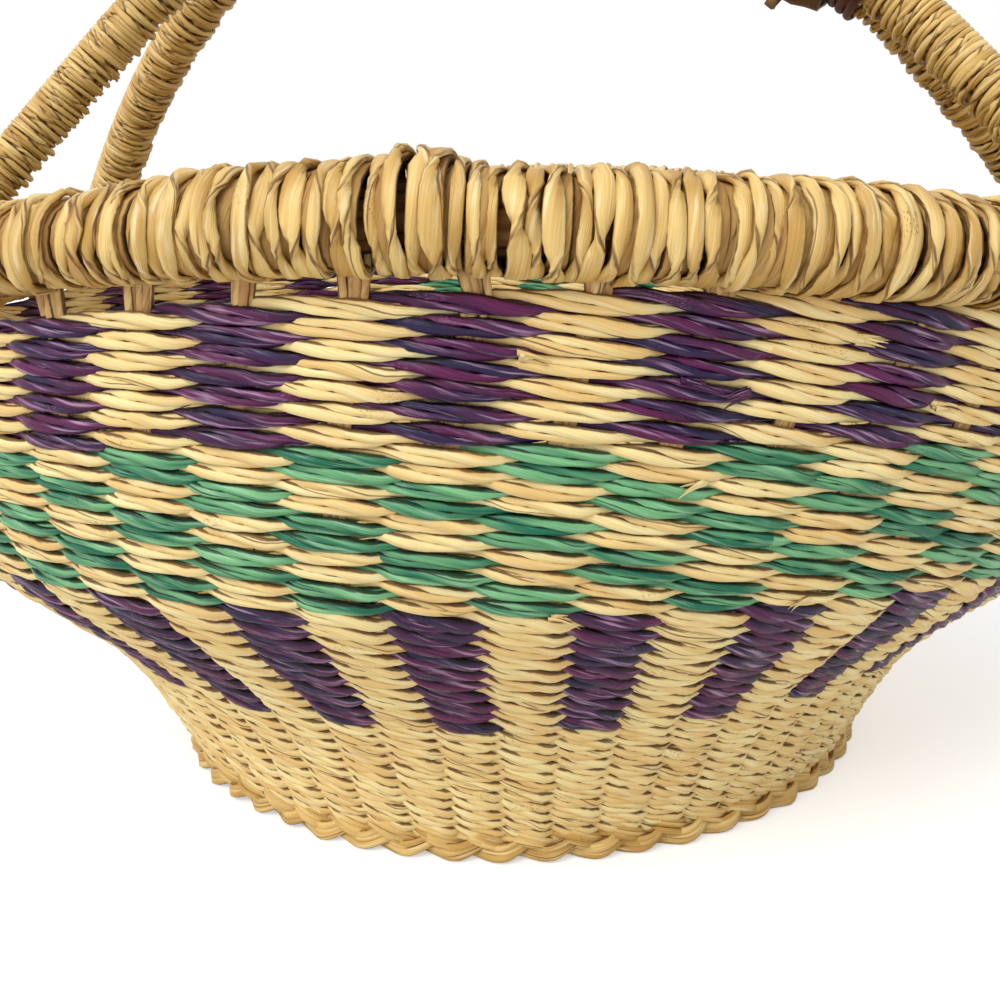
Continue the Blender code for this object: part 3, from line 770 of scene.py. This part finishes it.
# Handle: two bundles of straw bent to hoops and bound with split straw, narrower and rounder than
# the rim's. Finer pale strips lash the four ends to the rim. The hoops' centre lines are those of
# the part's solids.
ARCH_RISE = 0.1385
ARCH_LEAN = -0.0067
FOOT_ANGLE = math.radians(17.9)
FOOT_TURN_OUT = 0.0073
HOOP_HALF_GAP = 0.0103
SPREAD_POWER, TURN_OUT_POWER = 4, 12
HOOP_SKIN = 0.0069
HOOP_STATIONS = 20
HOOP_PITCH = 0.0018
HOOP_STRIP_HALF_WIDTH = 0.00115
HOOP_STRIP_HALF_DEPTH = 0.0010
HOOP_TURN_LENGTH = 0.045
HOOP_LUMP = 0.0012
HOOP_FOLDS = ((-2.2, -0.2), (0.4, 2.2))
HOOP_CORE_STRAWS = 7
HOOP_CORE_RING = 0.0044
HOOP_CORE_RADIUS = 0.0024
LASHED = 0.0265
LASHING_START = 0.0075
LASHING_LAP = 0.0006
LASHING_PITCH = 0.0017
LASHING_HALF_WIDTH = 0.0012
LASHING_SKIN = HOOP_SKIN + 0.0001
LASHING_LUMP = 0.0003
SLOPE_STEP = 0.003
OFF_MIDDLE = 1e-9


def hoop_centre(side, place):
    """Points on a hoop: side -1 front or 1 rear, place from -1 at the left foot to 1 at the right."""
    reach, end = np.abs(place), np.sign(place)
    foot = rim_centre(end * (math.pi / 2 + side * FOOT_ANGLE))
    span = RIM_RADIUS - FOOT_TURN_OUT
    spread = HOOP_HALF_GAP + (span * math.sin(FOOT_ANGLE) - HOOP_HALF_GAP) * reach ** SPREAD_POWER
    base = RIM_HEIGHT - SADDLE_RISE * math.cos(2 * FOOT_ANGLE)
    reach_x = end * span * math.cos(FOOT_ANGLE)
    centre = np.column_stack((reach_x * reach + ARCH_LEAN * (1 - reach ** 2), side * spread,
                              base + ARCH_RISE * (1 - reach ** 2)))
    landing = np.column_stack((reach_x, 0 * reach + side * span * math.sin(FOOT_ANGLE), base + 0 * reach))
    return centre + (foot - landing) * (reach ** TURN_OUT_POWER)[:, None]


# Lengths along each hoop. Its places are a hair off the middle, which is on neither side.
hoop_tables = {}
for side in (-1, 1):
    places = np.linspace(-1, 1, 801) + OFF_MIDDLE
    points = hoop_centre(side, places)
    steps = np.linalg.norm(np.diff(points, axis=0), axis=1)
    hoop_tables[side] = (places, np.concatenate(([0], np.cumsum(steps))))


def hoop_frame(side, run):
    """Centre, outward, beside and along at a length from a hoop's left foot."""
    places, lengths = hoop_tables[side]
    place = np.interp(run, lengths, places)
    centre = hoop_centre(side, place)
    along = (hoop_centre(side, np.minimum(place + SLOPE_STEP, 1))
             - hoop_centre(side, np.maximum(place - SLOPE_STEP, -1)))
    along /= np.linalg.norm(along, axis=1)[:, None]
    outward = np.cross((0.0, 1.0, 0.0), along)
    outward /= np.linalg.norm(outward, axis=1)[:, None]
    return centre, outward, np.cross(along, outward), along


def hoop_winding(name, side, start, end, pitch, half_width, skin, lump_size, material, slot, node):
    """Strips wound round a hoop from one length along it to another."""
    turns = int(round((end - start) / pitch))
    dials = strip_dials(turns, HOOP_FOLDS)

    def lay(cord, share, out, up):
        wound = share * turns
        index = np.minimum(np.floor(wound + TURN_SLACK).astype(int), turns - 1)
        turn = math.tau * (wound - index) - math.pi
        centre, outward, beside, along = hoop_frame(side, start + (end - start) * share)
        return wound_strip(centre, outward, beside, along, turn, index, dials, skin, half_width,
                           HOOP_STRIP_HALF_DEPTH, lump_size, 1, out, up)

    made = spun_cords(name, 1, lay, steps=turns, cuts=HOOP_STATIONS, sides=STRIP_SIDES,
                      length=turns * HOOP_TURN_LENGTH)
    dress(made, material, slot, node)


def hoop_core(name, side, node):
    """Bundle of straws inside a hoop's winding."""
    total = hoop_tables[side][1][-1]

    def lay(cord, share, out, up):
        centre, outward, beside, along = hoop_frame(side, total * share)
        turn = math.tau * (cord / HOOP_CORE_STRAWS + 3 * share)
        return (centre + outward * (HOOP_CORE_RING * np.cos(turn) + HOOP_CORE_RADIUS * out)[:, None]
                + beside * (HOOP_CORE_RING * np.sin(turn) + HOOP_CORE_RADIUS * up)[:, None])

    made = spun_cords(name, HOOP_CORE_STRAWS, lay, steps=72, sides=6, length=total)
    # The core's straw is painted darker, for the shade between the hoop's strips.
    dress(made, shaded_straw, "straw_natural", node)


for word, side in (("front", -1), ("rear", 1)):
    total = hoop_tables[side][1][-1]
    hoop_core(f"hoop_core_{word}", side, f"handle_core_{word}")
    hoop_winding(f"hoop_strips_{word}", side, LASHED, total - LASHED, HOOP_PITCH, HOOP_STRIP_HALF_WIDTH,
                 HOOP_SKIN, HOOP_LUMP, binding_straw, "straw_binding", f"handle_winding_{word}")
    for end, start, stop in (("left", LASHING_START, LASHED + LASHING_LAP),
                             ("right", total - LASHED - LASHING_LAP, total - LASHING_START)):
        hoop_winding(f"lashing_{word}_{end}", side, start, stop, LASHING_PITCH, LASHING_HALF_WIDTH,
                     LASHING_SKIN, LASHING_LUMP, natural_straw, "straw_natural", f"foot_lashing_{word}_{end}")

# Grip: one piece of brown leather folded round both hoops where they meet. Its edges come together
# underneath in a low keel.
GRIP_HALF_LENGTH = 0.0920
GRIP_OFFSET = 0.0200
GRIP_SKIN = 0.0120
GRIP_SIDES = 24
GRIP_KEEL = 0.0055
KEEL_TAPER = 0.008
GRIP_SLACK = 0.0002
SLACK_WAVES = 23
OUTLINE_TURNS = np.radians((0, 20, 45, 70, 90, 115, 135, 150, 165, 180))
LEATHER_THICKNESS = 0.0018


def grip_frame(distance):
    """Middle between the hoops, half their gap, the way out and the way along, at a distance in x."""
    places = np.linspace(-0.8, 0.8, 401) + OFF_MIDDLE
    front, rear = hoop_centre(-1, places), hoop_centre(1, places)
    place = np.interp(distance + ARCH_LEAN, (front + rear)[:, 0] / 2, places)
    front, rear = hoop_centre(-1, place), hoop_centre(1, place)
    step = hoop_centre(-1, place + SLOPE_STEP) - hoop_centre(-1, place - SLOPE_STEP)
    along = np.column_stack((step[:, 0], 0 * place, step[:, 2]))
    along /= np.linalg.norm(along, axis=1)[:, None]
    return (front + rear) / 2, (rear - front)[:, 1] / 2, np.cross(along, (0.0, 1.0, 0.0)), along


def grip_outline(distance, skin, keel, out, up):
    """Points round both hoops at each distance, with the laced keel below."""
    centre, half_gap, outward, along = grip_frame(distance)
    turn = np.arctan2(np.abs(up), out)
    spread = np.interp(turn, OUTLINE_TURNS, (0, 0.55, 1, 1, 1, 1, 0.85, 0.35, 0.1, 0))
    wide = np.interp(turn, OUTLINE_TURNS, (0, 0.2, 0.62, 0.93, 1, 0.90, 0.6, 0.22, 0.12, 0))
    high = np.interp(turn, OUTLINE_TURNS, (0.94, 0.96, 0.80, 0.36, 0, -0.44, -0.78, -0.97, -1.0, -1.0))
    drop = np.interp(turn, OUTLINE_TURNS, (0, 0, 0, 0, 0, 0, 0, 0.12, 0.8, 1))
    across = np.sign(up) * (half_gap * spread + skin * wide)
    return (centre + np.array((0.0, 1.0, 0.0)) * across[:, None]
            + outward * (skin * high - keel * drop)[:, None])


def grip_skin(cord, share, out, up):
    """The leather, a little slack between its laces."""
    distance = GRIP_OFFSET + GRIP_HALF_LENGTH * (2 * share - 1)
    end = np.clip((1 - np.abs(2 * share - 1)) * GRIP_HALF_LENGTH / KEEL_TAPER, 0, 1)
    slack = GRIP_SLACK * np.sin(share * math.tau * SLACK_WAVES) * (out < -0.3)
    return grip_outline(distance, GRIP_SKIN + slack, GRIP_KEEL * (0.3 + 0.7 * end), out, -up)


def leather_material(name, tones, worn, roughness, scale):
    """Tanned leather: fine grain, soft creases and rubbed high places."""
    made = bpy.data.materials.new(name)
    made.use_nodes = True
    tree = made.node_tree
    shader = tree.nodes["Principled BSDF"]
    spot = add_node(tree, "TexCoord").outputs["Object"]
    cloud = add_node(tree, "TexNoise", {"Vector": spot, "Scale": 60.0, "Detail": 5.0}).outputs[0]
    pores = add_node(tree, "TexVoronoi", {"Vector": spot, "Scale": scale}, feature="DISTANCE_TO_EDGE")
    pores = pores.outputs[0]
    fine = add_node(tree, "TexNoise", {"Vector": spot, "Scale": scale * 0.8, "Detail": 4.0}).outputs[0]
    shade = add_node(tree, "MapRange", {0: cloud, 1: 0.35, 2: 0.68}).outputs[0]
    colour = add_node(tree, "Mix", {0: shade, 6: tones[0], 7: tones[1]}, data_type="RGBA").outputs[2]
    grain = add_node(tree, "MapRange", {0: pores, 1: 0.0, 2: 0.12, 3: 0.55, 4: 0.0}).outputs[0]
    colour = add_node(tree, "Mix", {0: grain, 6: colour, 7: tones[2]}, data_type="RGBA").outputs[2]
    rub = add_node(tree, "MapRange", {0: fine, 1: 0.6, 2: 0.8, 3: 0.0, 4: 0.4}).outputs[0]
    colour = add_node(tree, "Mix", {0: rub, 6: colour, 7: worn}, data_type="RGBA").outputs[2]
    tree.links.new(colour, shader.inputs["Base Color"])
    rough = add_node(tree, "MapRange", {0: cloud, 3: roughness - 0.1, 4: roughness + 0.12}).outputs[0]
    tree.links.new(rough, shader.inputs["Roughness"])
    height = add_node(tree, "Math", {0: pores, 1: fine}, operation="ADD").outputs[0]
    relief = add_node(tree, "Bump", {"Height": height, "Strength": 0.4, "Distance": 0.0004})
    tree.links.new(relief.outputs[0], shader.inputs["Normal"])
    return made


grip_leather = leather_material(
    "grip leather", (paint(0.42, 0.20, 0.13), paint(0.32, 0.14, 0.09), paint(0.18, 0.08, 0.05)),
    worn=paint(0.55, 0.32, 0.22), roughness=0.5, scale=1400)
dark_thong = leather_material(
    "dark thong", (paint(0.40, 0.12, 0.06), paint(0.26, 0.07, 0.03), paint(0.12, 0.03, 0.02)),
    worn=paint(0.46, 0.20, 0.12), roughness=0.62, scale=1800)
raw_thong = leather_material(
    "raw thong", (paint(0.60, 0.46, 0.28), paint(0.48, 0.34, 0.20), paint(0.30, 0.20, 0.11)),
    worn=paint(0.70, 0.58, 0.40), roughness=0.6, scale=1800)
grip = spun_cords("grip_leather_skin", 1, grip_skin, steps=60, sides=GRIP_SIDES, length=0.19, capped=False)
skin = grip.modifiers.new("leather thickness", "SOLIDIFY")
skin.thickness = LEATHER_THICKNESS
skin.offset = -1
dress(grip, grip_leather, "leather", "grip_leather")

# Laces: a row of dark thong loops through the leather's edges. They close the keel under the hoops
# from one end of the grip to the other.
LACES = 22
LACE_INSET = 0.006
LACE_DROP = 0.0016
LACE_HALF_WIDE = 0.0029
LACE_HALF_HIGH = 0.0044
LACE_LEAN = 0.0012
LACE_HALF_THICKNESS = 0.0006
LACE_HALF_WIDTH = 0.0010


def lace(cord, share, out, up):
    """One loop of the lacing, leaning a little."""
    distance = GRIP_OFFSET + (GRIP_HALF_LENGTH - LACE_INSET) * (2 * (cord + 0.5) / LACES - 1)
    centre, half_gap, outward, along = grip_frame(distance + 0 * share)
    turn = math.tau * share
    side = np.array((0.0, 1.0, 0.0))
    middle = centre - outward * (GRIP_SKIN + LACE_DROP)
    radial = (side * np.cos(turn)[:, None] * LACE_HALF_WIDE
              - outward * np.sin(turn)[:, None] * LACE_HALF_HIGH)
    away = radial / np.linalg.norm(radial, axis=1)[:, None]
    lean = along * (LACE_LEAN * np.cos(turn))[:, None]
    return (middle + radial + lean + away * (out * LACE_HALF_THICKNESS)[:, None]
            - along * (up * LACE_HALF_WIDTH)[:, None])


laces = spun_cords("grip_laces", LACES, lace, steps=10, sides=5, length=0.02, closed=True)
dress(laces, dark_thong, "leather", "grip_leather")

# Ties: a thin raw thong wound twice round the leather near each of its ends and tied off under the
# keel, where its two short ends part.
TIE_INSET = 0.0104
TIE_TURNS = 2
TIE_PITCH = 0.0028
TIE_SKIN = GRIP_SKIN + 0.0008
TIE_KEEL = 0.0050
TIE_HALF_THICKNESS = 0.0009
TIE_HALF_WIDTH = 0.0015
TAIL_LENGTH = 0.0054
TAIL_SWING = 0.0050
TAIL_LEAN = 0.0013
TAIL_HALF_THICKNESS = 0.0011
TAIL_FLATNESS = 2.3


def tie_turn(middle):
    """The two turns of a tie round the leather."""
    def lay(cord, share, out, up):
        distance = middle + (cord - 0.5) * TIE_PITCH + 0 * share
        turn = math.tau * share
        ring = grip_outline(distance, TIE_SKIN, TIE_KEEL, np.cos(turn), np.sin(turn))
        centre, half_gap, outward, along = grip_frame(distance)
        away = ring - centre
        away /= np.linalg.norm(away, axis=1)[:, None]
        return (ring + away * (out * TIE_HALF_THICKNESS)[:, None]
                - along * (up * TIE_HALF_WIDTH)[:, None])

    return lay


def tie_tail(middle):
    """The two short ends of a tie, which part under the keel."""
    def lay(cord, share, out, up):
        centre, half_gap, outward, along = grip_frame(middle + 0 * share)
        side = np.array((0.0, 1.0, 0.0))
        way = 1 if cord else -1
        root = centre - outward * (GRIP_SKIN + GRIP_KEEL)
        drop = -TAIL_LENGTH * share
        swing = way * TAIL_SWING * np.sin(share * 2.2)
        lean = TAIL_LEAN * share * (0 if cord else 1)
        thick = TAIL_HALF_THICKNESS * (1 - 0.4 * share)
        return (root + outward * drop[:, None] + side * swing[:, None] + along * lean[:, None]
                + side * (out * thick)[:, None] + along * (up * thick * TAIL_FLATNESS)[:, None])

    return lay


for word, way in (("left", -1), ("right", 1)):
    middle = GRIP_OFFSET + way * (GRIP_HALF_LENGTH - TIE_INSET)
    turns = spun_cords(f"tie_turns_{word}", TIE_TURNS, tie_turn(middle), steps=40, sides=6, length=0.09,
                       closed=True)
    dress(turns, raw_thong, "thong", f"grip_tie_{word}")
    tail = spun_cords(f"tie_tail_{word}", 2, tie_tail(middle), steps=8, sides=6, length=0.01)
    dress(tail, raw_thong, "thong", f"grip_tie_{word}")

# End bindings: three turns of dark thong wound tightly round both hoops just past each end of the
# leather, to hold the hoops together.
BINDING_PITCH = 0.0024
BINDING_TURNS = 3
BINDING_START = 0.0012
BINDING_SKIN = 0.0109
BINDING_HALF_THICKNESS = 0.0010
BINDING_HALF_WIDTH = 0.0014


def end_binding(way):
    """Turns of the thong past one end of the grip."""
    def lay(cord, share, out, up):
        distance = (GRIP_OFFSET
                    + way * (GRIP_HALF_LENGTH + BINDING_START + BINDING_PITCH * (cord + 0.3 * share)))
        turn = math.tau * share
        skin = BINDING_SKIN + 0.0002 * uneven(7, share)
        ring = grip_outline(distance, skin, 0, np.cos(turn), np.sin(turn))
        centre, half_gap, outward, along = grip_frame(distance)
        away = ring - centre
        away /= np.linalg.norm(away, axis=1)[:, None]
        return (ring + away * (out * BINDING_HALF_THICKNESS)[:, None]
                - along * (up * BINDING_HALF_WIDTH)[:, None])

    return lay


for word, way in (("left", -1), ("right", 1)):
    turns = spun_cords(f"end_binding_{word}", BINDING_TURNS, end_binding(way), steps=36, sides=8, length=0.09,
                       closed=True)
    dress(turns, dark_thong, "leather", f"grip_end_binding_{word}")
